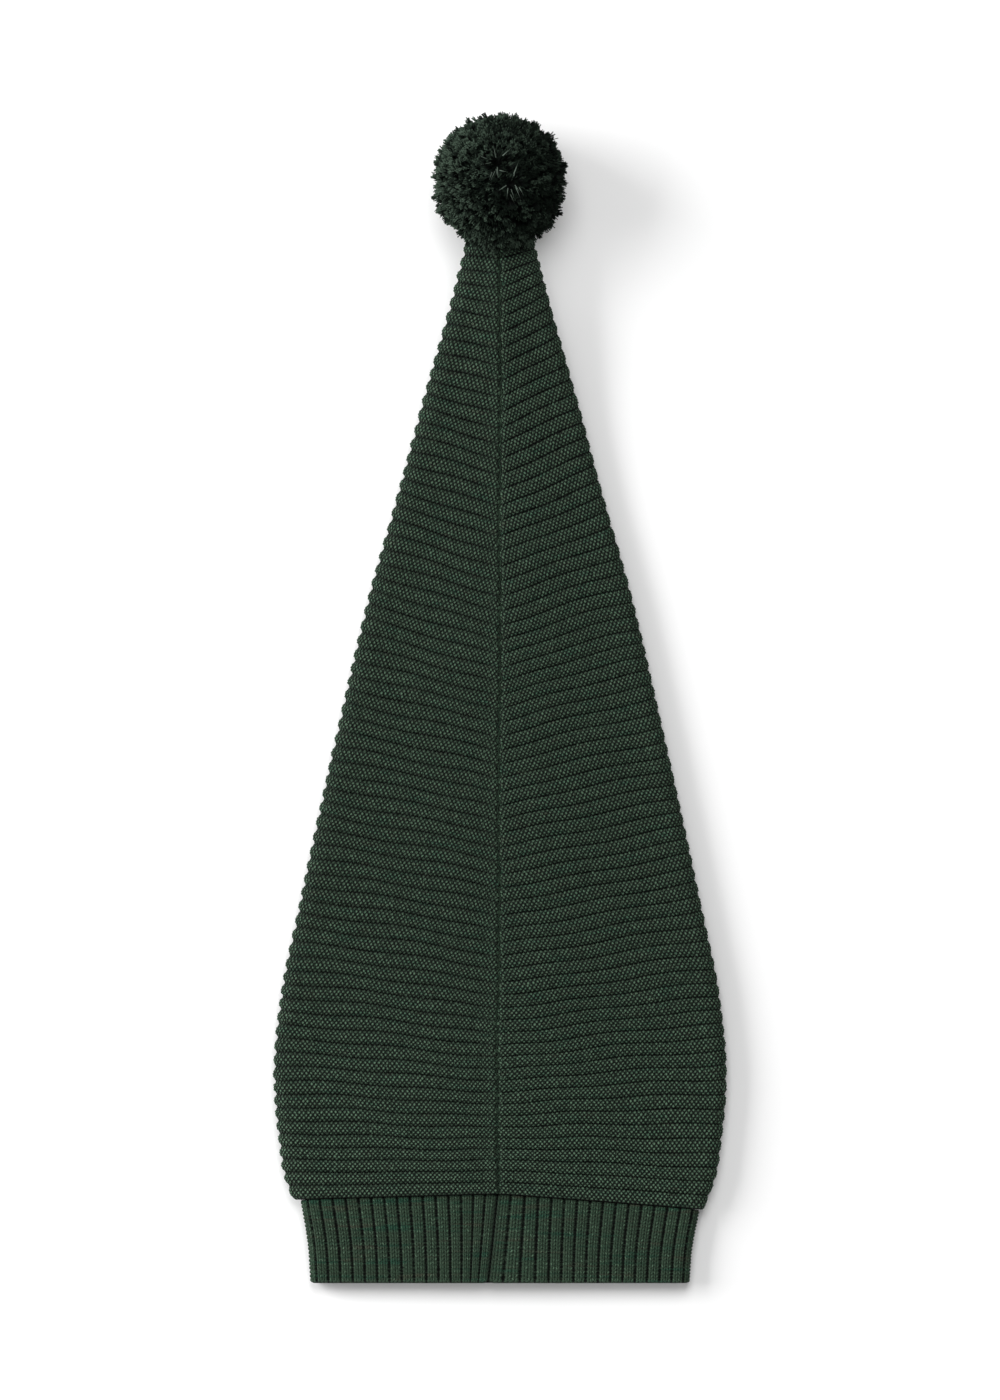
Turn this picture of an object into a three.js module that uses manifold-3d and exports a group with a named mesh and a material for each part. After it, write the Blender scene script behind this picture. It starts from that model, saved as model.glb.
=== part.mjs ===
// Knitted elf hat, lying flat with its back seam up: a long hollow peak of rolled purl ridges,
// a ribbed cuff, the yarn that joins the back seam, and a cut-yarn pompom tied to the tip.
// Millimetres. +Y runs from the hem to the pompom, +X is the right of the hat as it is looked
// down on, and +Z rises from the surface that the hat lies on.
import * as THREE from 'three';
import { mergeVertices } from 'three/addons/utils/BufferGeometryUtils.js';
import Module from 'manifold-3d';

const wasm = await Module();
wasm.setup();

// Cuff
const hemWidth = 200;
const cuffTopWidth = 210.5;
const cuffHeight = 41;       // hem to join, along the left fold
const cuffWall = 2;
const ribPitch = 6.45;       // two knit wales and one purl wale
const ribDepth = 1;
const hemRounding = 2.6;

// Peak
const peakWidth = 239;       // where it is widest
const peakLength = 509;      // join to gathered tip, along the left fold
const peakWall = 2.4;
const ridgePitch = 7.38;
const ridgeDepth = 1.5;
const hollowHeight = 14;     // tallest place of the space inside the lying hat
const tipDepth = 7;          // how far the gathers close past the last ridge
const tipDrop = 6;           // how far the tip's centre line stays below the pompom's centre

// Back seam
const seamSink = 0.8;        // groove below the ridges' valleys
const lipReach = 3.5;        // seam to the swollen lip on either side
const lipRise = 0.4;
const seamYarnWidth = 1.8;
const seamYarnThickness = 1.7;
const seamStep = 3;          // length over which the yarn climbs from the cuff onto the peak

// Pompom and its tie
const pompomDiameter = 71;
const pompomFlat = 2.5;      // how far its own weight presses it onto the surface
const pompomOverlap = 3.5;   // how far it reaches back over the tip
const lockCount = 54;
const lockDepth = 4.5;       // hollows between the locks
const tieDiameter = 6;
const tieLength = 10;

// Gap between pieces that touch on the real hat
const clearance = 0.3;

// Peak sections from the join (at 0) to the tip (at 1). Shares: width of peakWidth, crown and fold
// of hollowHeight in the middle and inside the side folds, lift of the tip's height off the surface.
const PEAK_SECTIONS = [
  { at: 0.000, width: 0.905, crown: 0.60, fold: 0.44, lift: 0.00 },
  { at: 0.025, width: 0.947, crown: 0.74, fold: 0.46, lift: 0.00 },
  { at: 0.070, width: 0.979, crown: 0.88, fold: 0.48, lift: 0.00 },
  { at: 0.135, width: 1.000, crown: 1.00, fold: 0.50, lift: 0.00 },
  { at: 0.210, width: 0.974, crown: 1.00, fold: 0.50, lift: 0.00 },
  { at: 0.320, width: 0.880, crown: 0.96, fold: 0.49, lift: 0.00 },
  { at: 0.520, width: 0.693, crown: 0.88, fold: 0.48, lift: 0.00 },
  { at: 0.630, width: 0.583, crown: 0.84, fold: 0.48, lift: 0.00 },
  { at: 0.730, width: 0.462, crown: 0.80, fold: 0.50, lift: 0.00 },
  { at: 0.840, width: 0.335, crown: 0.78, fold: 0.55, lift: 0.20 },
  { at: 0.940, width: 0.214, crown: 0.78, fold: 0.62, lift: 0.74 },
  { at: 1.000, width: 0.149, crown: 0.78, fold: 0.68, lift: 1.00 },
];

// Cuff sections from the hem (at 0) to the join (at 1). The spread is a share of what the cuff
// gains in width; crown and fold are shares of hollowHeight, as in the peak.
const CUFF_SECTIONS = [
  { at: 0.00, spread: 0.00, crown: 0.46, fold: 0.40 },
  { at: 0.45, spread: 0.25, crown: 0.52, fold: 0.42 },
  { at: 1.00, spread: 1.00, crown: 0.60, fold: 0.44 },
];

// How far the ridges dip from each side fold to the seam, as shares of the half width there. The
// bend is 1 for a ridge that runs straight, and more for one that steepens beside the seam.
const RIDGE_DIPS = [
  { at: 0.00, left: -0.030, right: -0.080, bend: 1.00 },
  { at: 0.05, left: 0.000, right: -0.030, bend: 1.00 },
  { at: 0.10, left: 0.035, right: 0.035, bend: 1.05 },
  { at: 0.25, left: 0.130, right: 0.127, bend: 1.10 },
  { at: 0.39, left: 0.180, right: 0.195, bend: 1.15 },
  { at: 0.54, left: 0.230, right: 0.260, bend: 1.20 },
  { at: 0.65, left: 0.280, right: 0.310, bend: 1.25 },
  { at: 0.76, left: 0.280, right: 0.410, bend: 1.25 },
  { at: 0.85, left: 0.240, right: 0.500, bend: 1.20 },
  { at: 0.95, left: 0.140, right: 0.440, bend: 1.10 },
  { at: 1.00, left: 0.120, right: 0.200, bend: 1.00 },
];

// One ridge: its valley, then the two edges of its rolled crest, as shares of the pitch and depth.
const RIDGE_ROWS = [
  { along: 0.00, inset: 1 },
  { along: 0.28, inset: 0 },
  { along: 0.72, inset: 0 },
];

// One rib: its purl valley, then the two knit wales' outer edges, as shares of the pitch and depth.
const RIB_POINTS = [
  { along: 0.00, inset: 1 },
  { along: 0.22, inset: 0 },
  { along: 0.78, inset: 0 },
];

// Places round a section from the seam. A turn of 0 to 1 goes over the top to the side fold, 1 to 2
// round the fold, and 2 to 3 back to the middle of the underside.
const SEAM_TURN = 0;
const FOLD_TURN = 1.5;
const UNDER_TURN = 3;
const PEAK_TURNS = [0.45, 1, 1.25, FOLD_TURN, 1.75, 2];

// How finely the solids are cut, and forms that have no size of their own.
const INSIDE_STEP = 4;       // ridges between two rings of the inner face
const GATHER_ANGLES = [25, 55, 82];
const SEAM_FLANK = 0.75;     // where the seam yarn is widest, as a share of its thickness
const TIE_SIDES = 12;
const TIP_ROOM_RIDGES = 3;
const BALL_DETAIL = 7;
const GOLDEN_ANGLE = Math.PI * (3 - Math.sqrt(5));

const ridgeCount = Math.round(peakLength / ridgePitch);
const pompomRadius = pompomDiameter / 2;
const tipHeight = cuffHeight + peakLength;
const pompomHeight = tipHeight - pompomOverlap + pompomRadius;
const hatLength = pompomHeight + pompomRadius;
const hemY = -hatLength / 2;
const pompomZ = pompomRadius - pompomFlat;
const peakLayer = peakWall + ridgeDepth;
const cuffLayer = cuffWall + ribDepth;

// Returns a smooth curve through a table: it gives the named columns at any place between its rows.
function smoothTable(table) {
  const columns = Object.keys(table[0]).filter((name) => name !== 'at');
  const places = table.map((row) => row.at);
  const values = table.flatMap((row) => columns.map((name) => row[name]));
  const curve = new THREE.CubicInterpolant(places, values, columns.length);
  return (at) => {
    const found = curve.evaluate(at);
    return Object.fromEntries(columns.map((name, column) => [name, found[column]]));
  };
}

const peakTable = smoothTable(PEAK_SECTIONS);
const cuffTable = smoothTable(CUFF_SECTIONS);
const dipTable = smoothTable(RIDGE_DIPS);
const tipCrown = 2 * peakLayer + hollowHeight * peakTable(1).crown;
const tipLift = Math.max(pompomZ - tipDrop - tipCrown / 2, 0);

// Flattened tube of the peak at a height above the hem.
function peakSection(height) {
  const row = peakTable((height - cuffHeight) / peakLength);
  return {
    halfWidth: row.width * peakWidth / 2,
    crown: 2 * peakLayer + row.crown * hollowHeight,
    foldRadius: peakLayer + row.fold * hollowHeight / 2,
    lift: Math.max(row.lift, 0) * tipLift,
  };
}

// Flattened tube of the cuff at a height above the hem.
function cuffSection(height) {
  const row = cuffTable(height / cuffHeight);
  return {
    halfWidth: (hemWidth + row.spread * (cuffTopWidth - hemWidth)) / 2,
    crown: 2 * cuffLayer + row.crown * hollowHeight,
    foldRadius: cuffLayer + row.fold * hollowHeight / 2,
    lift: 0,
  };
}

// Distance along a section's face from the seam to a turn.
function girthTo(section, turn) {
  const flat = section.halfWidth - section.foldRadius;
  const over = Math.min(turn, 1) * flat;
  const round = THREE.MathUtils.clamp(turn - 1, 0, 1) * Math.PI * section.foldRadius;
  const under = Math.max(turn - 2, 0) * flat;
  return over + round + under;
}

const ribCount = Math.round(2 * girthTo(cuffSection(0), UNDER_TURN) / ribPitch);

// Turn that lies at a distance along a section's face from the seam.
function turnAt(section, distance) {
  const flat = section.halfWidth - section.foldRadius;
  const round = Math.PI * section.foldRadius;
  if (distance < flat) {
    return distance / flat;
  }
  if (distance < flat + round) {
    return 1 + (distance - flat) / round;
  }
  return Math.min(2 + (distance - flat - round) / flat, UNDER_TURN);
}

// Point on a section's face, or inset from it. The side is 1 on the right and -1 on the left.
function facePoint(section, turn, side, inset, height) {
  const flat = section.halfWidth - section.foldRadius;
  const bend = section.foldRadius - inset;
  const angle = THREE.MathUtils.clamp(turn - 1, 0, 1) * Math.PI;
  const swell = section.crown - 2 * section.foldRadius;
  const arch = swell * Math.cos(Math.min(turn, 1) * Math.PI / 2) ** 2;
  const across = turn < 2 ? Math.min(turn, 1) * flat : (UNDER_TURN - turn) * flat;
  return new THREE.Vector3(
    side * (across + bend * Math.sin(angle)),
    hemY + height,
    section.lift + section.foldRadius + bend * Math.cos(angle) + arch,
  );
}

// Height above the hem at which a ridge passes a turn. The ridges dip to the seam on top and run
// straight from fold to fold underneath. Ridge 0 is the line where the peak joins the cuff.
function ridgeHeight(ridge, turn, side) {
  const at = ridge / ridgeCount;
  const leftFold = cuffHeight + at * peakLength;
  const section = peakSection(leftFold);
  const dip = dipTable(at);
  const seam = leftFold - dip.left * section.halfWidth;
  const rightFold = seam + dip.right * section.halfWidth;
  const fold = side < 0 ? leftFold : rightFold;
  const toFold = girthTo(section, FOLD_TURN);
  const toUnder = girthTo(section, UNDER_TURN);
  if (turn <= FOLD_TURN) {
    const nearness = 1 - girthTo(section, turn) / toFold;
    return THREE.MathUtils.lerp(fold, seam, nearness ** dip.bend);
  }
  const share = (girthTo(section, turn) - toFold) / (toUnder - toFold);
  return THREE.MathUtils.lerp(fold, (leftFold + rightFold) / 2, share);
}

function middleOf(ring) {
  const middle = new THREE.Vector3();
  ring.forEach((point) => middle.addScaledVector(point, 1 / ring.length));
  return middle;
}

// Lofts a closed body through rings of equally many points. Its ends close on their own middles,
// or on each other where the rings form a loop.
function loftBody(rings, loop = false) {
  const round = rings[0].length;
  const points = rings.flat();
  const triangles = [];
  const spans = loop ? rings.length : rings.length - 1;
  for (let ring = 0; ring < spans; ring += 1) {
    const here = ring * round;
    const next = ((ring + 1) % rings.length) * round;
    for (let place = 0; place < round; place += 1) {
      const beside = (place + 1) % round;
      triangles.push(here + place, here + beside, next + place);
      triangles.push(here + beside, next + beside, next + place);
    }
  }
  if (!loop) {
    for (const [ring, turned] of [[0, false], [rings.length - 1, true]]) {
      const centre = points.push(middleOf(rings[ring])) - 1;
      for (let place = 0; place < round; place += 1) {
        const edge = [ring * round + place, ring * round + (place + 1) % round];
        triangles.push(centre, ...(turned ? edge : edge.reverse()));
      }
    }
  }
  const geometry = new THREE.BufferGeometry().setFromPoints(points);
  geometry.setIndex(triangles);
  return geometry;
}

// One ring of the peak. The seam's groove has no ridges, and its lips stand a little proud.
function peakRing(ridge, inset, plain = false) {
  const place = (turn, side, extra) => {
    const height = ridgeHeight(ridge, turn, side);
    return facePoint(peakSection(height), turn, side, inset + extra, height);
  };
  const foot = peakSection(ridgeHeight(ridge, SEAM_TURN, 1));
  const lipTurn = lipReach / (foot.halfWidth - foot.foldRadius);
  const half = (side) => [
    place(lipTurn, side, plain ? 0 : -lipRise),
    ...PEAK_TURNS.map((turn) => place(turn, side, 0)),
  ];
  const seam = place(SEAM_TURN, 1, plain ? 0 : ridgeDepth - inset + seamSink);
  return [seam, ...half(1), place(UNDER_TURN, 1, 0), ...half(-1).reverse()];
}

// Rings that round off the end of the peak to a small gathered button, a reach past the last ring.
function gatherRings(lastRing, reach) {
  const middle = middleOf(lastRing);
  return GATHER_ANGLES.map((degrees) => {
    const angle = THREE.MathUtils.degToRad(degrees);
    return lastRing.map((point) => {
      const drawn = middle.clone().lerp(point, Math.cos(angle));
      drawn.y += reach * Math.sin(angle);
      return drawn;
    });
  });
}

function peakGeometry() {
  const outside = [];
  for (let ridge = 0; ridge < ridgeCount; ridge += 1) {
    for (const row of RIDGE_ROWS) {
      outside.push(peakRing(ridge + row.along, row.inset * ridgeDepth));
    }
  }
  const lastOutside = peakRing(ridgeCount, ridgeDepth);
  const inside = [];
  for (let ridge = 0; ridge < ridgeCount; ridge += INSIDE_STEP) {
    inside.push(peakRing(ridge, peakLayer, true));
  }
  const lastInside = peakRing(ridgeCount, peakLayer, true);
  return loftBody([
    ...gatherRings(lastInside, tipDepth - peakWall).reverse(),
    lastInside,
    ...inside.reverse(),
    ...outside,
    lastOutside,
    ...gatherRings(lastOutside, tipDepth),
  ]);
}

// Ring of the cuff at a share of the way from the hem to the join. The seam falls in one of the
// purl valleys between the ribs, and is sunk deeper than the others.
function cuffRing(share, inset, ribbed) {
  const section = cuffSection(share * cuffHeight);
  const girth = 2 * girthTo(section, UNDER_TURN);
  const points = [];
  for (let rib = 0; rib < ribCount; rib += 1) {
    for (const row of RIB_POINTS) {
      const distance = (rib + row.along) / ribCount * girth;
      const side = distance <= girth / 2 ? 1 : -1;
      const turn = turnAt(section, Math.min(distance, girth - distance));
      const height = share * (ridgeHeight(0, turn, side) - clearance);
      const relief = ribbed ? row.inset * ribDepth : 0;
      const sink = ribbed && distance === 0 ? seamSink : 0;
      points.push(facePoint(section, turn, side, inset + relief + sink, height));
    }
  }
  return points;
}

function cuffGeometry() {
  return loftBody([
    cuffRing(0, cuffLayer, false),
    cuffRing(0, hemRounding / 2, true),
    cuffRing(hemRounding / cuffHeight, 0, true),
    cuffRing(CUFF_SECTIONS[1].at, 0, true),
    cuffRing(1, 0, true),
    cuffRing(1, cuffLayer, false),
  ], true);
}

// The seam yarn: a slim strip in the groove, from the hem to the edge of the pompom. Each of its
// stops has a height above the hem and the section and depth of the groove there.
function backSeamGeometry() {
  const join = ridgeHeight(0, SEAM_TURN, 1);
  const end = pompomHeight - pompomRadius - clearance;
  const stop = (height, section, depth) => facePoint(section, SEAM_TURN, 1, depth + seamSink, height);
  const stops = [hemRounding, CUFF_SECTIONS[1].at * join, join - seamStep].map(
    (height) => stop(height, cuffSection(height), ribDepth),
  );
  stops.push(stop(join - seamStep / 2, peakSection(join), ridgeDepth));
  const runs = Math.round((end - join) / ridgePitch);
  for (let run = 1; run <= runs; run += 1) {
    const height = THREE.MathUtils.lerp(join, end, run / runs);
    stops.push(stop(height, peakSection(height), ridgeDepth));
  }
  const halfWidth = seamYarnWidth / 2;
  const flank = seamYarnThickness * SEAM_FLANK;
  return loftBody(stops.map(({ y, z }) => [
    new THREE.Vector3(0, y, z + clearance),
    new THREE.Vector3(-halfWidth, y, z + clearance + flank),
    new THREE.Vector3(0, y, z + clearance + seamYarnThickness),
    new THREE.Vector3(halfWidth, y, z + clearance + flank),
  ]));
}

// Run of the tie from just past the gathered tip into the pompom, or the room that it needs.
function tieGeometry(room = 0) {
  const radius = tieDiameter / 2 + room;
  const geometry = new THREE.CylinderGeometry(radius, radius, tieLength + room, TIE_SIDES);
  const start = middleOf(peakRing(ridgeCount, ridgeDepth));
  start.y += tipDepth + clearance + (tieLength + room) / 2;
  return geometry.translate(start.x, start.y, start.z);
}

// Outer form of the peak's end, a gap larger than the knitting, for the pompom to close round.
function tipRoomGeometry() {
  const rings = [];
  for (let ridge = ridgeCount - TIP_ROOM_RIDGES; ridge <= ridgeCount; ridge += 1) {
    rings.push(peakRing(ridge, -clearance));
  }
  rings.push(...gatherRings(rings.at(-1), tipDepth + clearance));
  return loftBody(rings);
}

// Ball whose face stands out in locks of cut yarn, evenly spread, and sinks between them.
function lockedBallGeometry() {
  const locks = [];
  for (let lock = 0; lock < lockCount; lock += 1) {
    const level = 1 - 2 * lock / (lockCount - 1);
    const ring = Math.sqrt(1 - level * level);
    const turn = lock * GOLDEN_ANGLE;
    locks.push(new THREE.Vector3(ring * Math.cos(turn), level, ring * Math.sin(turn)));
  }
  const lockSpread = Math.sqrt(Math.PI / lockCount);
  const ball = new THREE.IcosahedronGeometry(pompomRadius, BALL_DETAIL);
  const places = ball.attributes.position;
  const face = new THREE.Vector3();
  for (let place = 0; place < places.count; place += 1) {
    face.fromBufferAttribute(places, place);
    const aside = Math.min(...locks.map((lock) => lock.angleTo(face))) / lockSpread;
    face.setLength(pompomRadius - lockDepth * Math.min(aside, 1) ** 2);
    places.setXYZ(place, face.x, face.y, face.z);
  }
  return ball;
}

// Solid for cutting and joining, from a closed mesh.
function toSolid(geometry) {
  const bare = geometry.clone();
  bare.deleteAttribute('normal');
  bare.deleteAttribute('uv');
  const merged = mergeVertices(bare);
  return new wasm.Manifold(new wasm.Mesh({
    numProp: 3,
    vertProperties: new Float32Array(merged.attributes.position.array),
    triVerts: new Uint32Array(merged.index.array),
  }));
}

function pompomGeometry() {
  const ball = lockedBallGeometry().translate(0, hemY + pompomHeight, pompomZ);
  const surface = new THREE.BoxGeometry(pompomDiameter, hatLength, pompomDiameter);
  surface.translate(0, hatLength / 2, -pompomDiameter / 2);
  const mesh = toSolid(ball)
    .subtract(toSolid(surface))
    .subtract(toSolid(tipRoomGeometry()))
    .subtract(toSolid(tieGeometry(clearance)))
    .getMesh();
  const geometry = new THREE.BufferGeometry();
  geometry.setAttribute('position', new THREE.BufferAttribute(mesh.vertProperties, 3));
  geometry.setIndex(new THREE.BufferAttribute(mesh.triVerts, 1));
  return geometry;
}

function addPiece(group, name, geometry, color, roughness) {
  geometry.computeVertexNormals();
  const material = new THREE.MeshStandardMaterial({ color, roughness, metalness: 0 });
  const piece = new THREE.Mesh(geometry, material);
  piece.name = name;
  group.add(piece);
}

const hat = new THREE.Group();
addPiece(hat, 'peak', peakGeometry(), 0x2a372c, 0.9);
addPiece(hat, 'cuff', cuffGeometry(), 0x2d392f, 0.9);
addPiece(hat, 'back_seam', backSeamGeometry(), 0x222d25, 0.9);
addPiece(hat, 'pompom', pompomGeometry(), 0x1a201c, 0.85);
addPiece(hat, 'pompom_tie', tieGeometry(), 0x1a201c, 0.9);

export default hat;
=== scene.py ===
import math

import bmesh
import bpy
import numpy as np
from mathutils import Matrix, Vector


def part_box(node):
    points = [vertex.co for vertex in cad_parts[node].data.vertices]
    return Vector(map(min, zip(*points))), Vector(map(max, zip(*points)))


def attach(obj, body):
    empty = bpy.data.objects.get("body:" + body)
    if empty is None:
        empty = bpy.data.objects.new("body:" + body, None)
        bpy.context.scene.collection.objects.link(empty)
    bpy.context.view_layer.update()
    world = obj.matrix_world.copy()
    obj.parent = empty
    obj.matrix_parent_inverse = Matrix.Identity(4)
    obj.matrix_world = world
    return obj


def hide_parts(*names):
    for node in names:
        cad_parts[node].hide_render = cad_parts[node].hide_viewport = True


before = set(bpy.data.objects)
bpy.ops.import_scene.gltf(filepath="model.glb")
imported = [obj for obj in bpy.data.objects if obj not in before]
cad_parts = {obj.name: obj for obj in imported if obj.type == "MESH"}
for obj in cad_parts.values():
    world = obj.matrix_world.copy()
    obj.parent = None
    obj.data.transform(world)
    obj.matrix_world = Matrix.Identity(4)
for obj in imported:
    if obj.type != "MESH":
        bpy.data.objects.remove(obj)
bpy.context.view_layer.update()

MM = 0.001

# Places and sizes read from the frame, in millimetres
cuff_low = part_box("cuff")[0] / MM
peak_low, peak_high = (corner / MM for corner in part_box("peak"))
pompom_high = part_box("pompom")[1] / MM
HEM_Y = cuff_low.y
PEAK_WIDTH = peak_high.x - peak_low.x
POMPOM_END_Y = pompom_high.y

# The hat's own sizes: lengths in millimetres, counts, and each roll's reach as a share of half a
# ridge
HEM_WIDTH = 200
CUFF_TOP_WIDTH = 210.5
CUFF_HEIGHT = 41
CUFF_WALL = 2
RIB_DEPTH = 1
RIB_COUNT = 64
HEM_ROUNDING = 2.6
PEAK_LENGTH = 509
PEAK_WALL = 2.4
RIDGE_COUNT = 69
RIDGE_DEPTH = 1.5
HOLLOW_HEIGHT = 14
TIP_DEPTH = 7
TIP_DROP = 6
SEAM_SINK = 0.8
SEAM_LIP = 2.0
SEAM_FADES = (6.5, 2.6)
SEAM_ZIGZAG = 0.6
SEAM_PULL = 14
SEAM_LEAN = -1.6
CUFF_SEAM_LEAN = -4.6
FACE_ROLL = 0.92
LEFT_ROLL = 0.74
RIGHT_ROLL = 0.92
VALLEY_DEPTH = 2.0
EDGE_DEPTH = 1.4
LIP_RISE = 0.05
POMPOM_RADIUS = 35.5
POMPOM_FLAT = 2.5
CLEARANCE = 0.3

# How far the lowest ridges are gathered up at the join, and over how many ridges
JOIN_RISE = 3
JOIN_REACH = 4

# How far a ridge wanders, and its two waves: length, turns from hem to tip, start
RIDGE_WANDER = 1.1
WANDER_WAVES = ((13, 17, 0), (31, 29, 1))

# The knitting: lengths in millimetres, the drift in wales to a ridge, its start as a ridge's
# number, the widest place as a share of the peak's length, and the legs as shares of a rib
WALE = 2.4
COURSES_PER_RIDGE = 5
WALE_DRIFT = 0.5
DRIFT_START = 12
WIDEST_AT = 0.135
RIB_WALES = 3
CUFF_COURSE = 1.9
LEG_COLUMNS = (0.19, 0.395, 0.605, 0.81)
LEG_SLANT = 0.07
LEG_HALF_WIDTH = 0.08
LEG_HALF_LENGTH = 0.43
LEG_RISE = 0.6
PALE_LEG = 2.1
HEM_NOTCH = 1.6
SEAM_LOOPS = 3
SEAM_ROOM = 0.9

STITCHED_TURN = 2.0
PURL_HALF_WIDTH = 0.37
PURL_HALF_HEIGHT = 0.76
PURL_RISE = 1.0
MOST_WALES = 120

# How much one purl bead differs from the next: place, lean, size and rise, as shares
WALE_SPREAD = 0.06
RIDGE_SPREAD = 0.015
LEAN_SPREAD = 0.25
SIZE_SPREAD = 0.1
RISE_SPREAD = 0.22

# The pompom's yarn: counts, lengths in millimetres, and the whorls' places
YARN_ENDS = 2600
FIBRES = 17
YARN_LENGTH = 7
FIBRE_RADIUS = 0.31
COLLAR_ENDS = 170
WHORL_HAIRS = 9
POMPOM_CORE = 29.5
WHORLS = ((-1.6, 8), (6.3, -2.6))
WHORL_REACH = 8
WHORL_DEPTH = 7
WHORL_LEAN = 2.4
DIMPLE_REACH = 5
YARN_INSET = 2.7

SEED = 20

# Peak sections from the join to the tip: at, width, crown, fold, lift (shares, as in the solids)
PEAK_SECTIONS = (
    (0.000, 0.905, 0.60, 0.44, 0.00),
    (0.025, 0.947, 0.74, 0.46, 0.00),
    (0.070, 0.979, 0.88, 0.48, 0.00),
    (0.135, 1.000, 1.00, 0.50, 0.00),
    (0.210, 0.974, 1.00, 0.50, 0.00),
    (0.320, 0.880, 0.96, 0.49, 0.00),
    (0.520, 0.693, 0.88, 0.48, 0.00),
    (0.630, 0.583, 0.84, 0.48, 0.00),
    (0.730, 0.462, 0.80, 0.50, 0.00),
    (0.840, 0.335, 0.78, 0.55, 0.20),
    (0.940, 0.214, 0.78, 0.62, 0.74),
    (1.000, 0.149, 0.78, 0.68, 1.00),
)
# Cuff sections from the hem to the join: at, spread, crown, fold
CUFF_SECTIONS = (
    (0.00, 0.00, 0.46, 0.40),
    (0.45, 0.25, 0.52, 0.42),
    (1.00, 1.00, 0.60, 0.44),
)
# How far the ridges dip to the seam: at, left, right, bend
RIDGE_DIPS = (
    (0.00, -0.030, -0.080, 1.00),
    (0.05, 0.000, -0.030, 1.00),
    (0.10, 0.035, 0.035, 1.05),
    (0.25, 0.130, 0.127, 1.10),
    (0.39, 0.180, 0.195, 1.15),
    (0.54, 0.230, 0.260, 1.20),
    (0.65, 0.280, 0.310, 1.25),
    (0.76, 0.280, 0.410, 1.25),
    (0.85, 0.240, 0.500, 1.20),
    (0.95, 0.140, 0.440, 1.10),
    (1.00, 0.120, 0.200, 1.00),
)

PEAK_LAYER = PEAK_WALL + RIDGE_DEPTH
CUFF_LAYER = CUFF_WALL + RIB_DEPTH
POMPOM_Z = POMPOM_RADIUS - POMPOM_FLAT
POMPOM_MIDDLE = (0, POMPOM_END_Y - POMPOM_RADIUS, POMPOM_Z)
PEAK_END_Y = peak_high.y
TIP_MIDDLE_Z = POMPOM_Z - TIP_DROP
FOLD_TURN = 1.5
UNDER_TURN = 3


def smooth(table, at):
    """The columns of a table at places between its rows, on smooth curves."""
    rows = np.array(table)
    places, values = rows[:, 0], rows[:, 1:]
    slopes = np.gradient(values, places, axis=0)
    at = np.clip(at, places[0], places[-1])
    row = np.clip(np.searchsorted(places, at) - 1, 0, len(places) - 2)
    step = (places[row + 1] - places[row])[..., None]
    t = (at - places[row])[..., None] / step
    near = (1 + 2 * t) * (1 - t) ** 2 * values[row] + t * (1 - t) ** 2 * step * slopes[row]
    far = t ** 2 * (3 - 2 * t) * values[row + 1] + t ** 2 * (t - 1) * step * slopes[row + 1]
    return np.moveaxis(near + far, -1, 0)


TIP_CROWN = 2 * PEAK_LAYER + HOLLOW_HEIGHT * PEAK_SECTIONS[-1][2]
TIP_LIFT = POMPOM_Z - TIP_DROP - TIP_CROWN / 2


def peak_section(height):
    """Half width, crown, fold radius and lift of the peak at a height above the hem."""
    width, crown, fold, lift = smooth(PEAK_SECTIONS, (height - CUFF_HEIGHT) / PEAK_LENGTH)
    return (
        width * PEAK_WIDTH / 2,
        2 * PEAK_LAYER + crown * HOLLOW_HEIGHT,
        PEAK_LAYER + fold * HOLLOW_HEIGHT / 2,
        np.maximum(lift, 0) * TIP_LIFT,
    )


def cuff_section(height):
    """Half width, crown, fold radius and lift of the cuff at a height above the hem."""
    spread, crown, fold = smooth(CUFF_SECTIONS, height / CUFF_HEIGHT)
    return (
        (HEM_WIDTH + spread * (CUFF_TOP_WIDTH - HEM_WIDTH)) / 2,
        2 * CUFF_LAYER + crown * HOLLOW_HEIGHT,
        CUFF_LAYER + fold * HOLLOW_HEIGHT / 2,
        0 * spread,
    )


def girth_to(section, turn):
    """Distance along a section's face from the seam to a turn."""
    flat = section[0] - section[2]
    bend = np.clip(turn - 1, 0, 1) * math.pi * section[2]
    return np.minimum(turn, 1) * flat + bend + np.maximum(turn - 2, 0) * flat


def turn_at(section, distance):
    """Turn that lies at a distance along a section's face from the seam."""
    flat = section[0] - section[2]
    bend = math.pi * section[2]
    over = distance / flat
    round_fold = 1 + (distance - flat) / bend
    under = np.minimum(2 + (distance - flat - bend) / flat, UNDER_TURN)
    return np.where(over < 1, over, np.where(round_fold < 2, round_fold, under))


def face_point(section, turn, side, inset, height):
    """Points on a section's face, or inset from it, in millimetres."""
    half_width, crown, fold_radius, lift = section
    flat = half_width - fold_radius
    bend = fold_radius - inset
    angle = np.clip(turn - 1, 0, 1) * math.pi
    arch = (crown - 2 * fold_radius) * np.cos(np.minimum(turn, 1) * math.pi / 2) ** 2
    across = np.where(turn < 2, np.minimum(turn, 1) * flat, (UNDER_TURN - turn) * flat)
    return np.stack(
        (
            side * (across + bend * np.sin(angle)),
            HEM_Y + height,
            lift + fold_radius + bend * np.cos(angle) + arch,
        ),
        axis=-1,
    )


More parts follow.
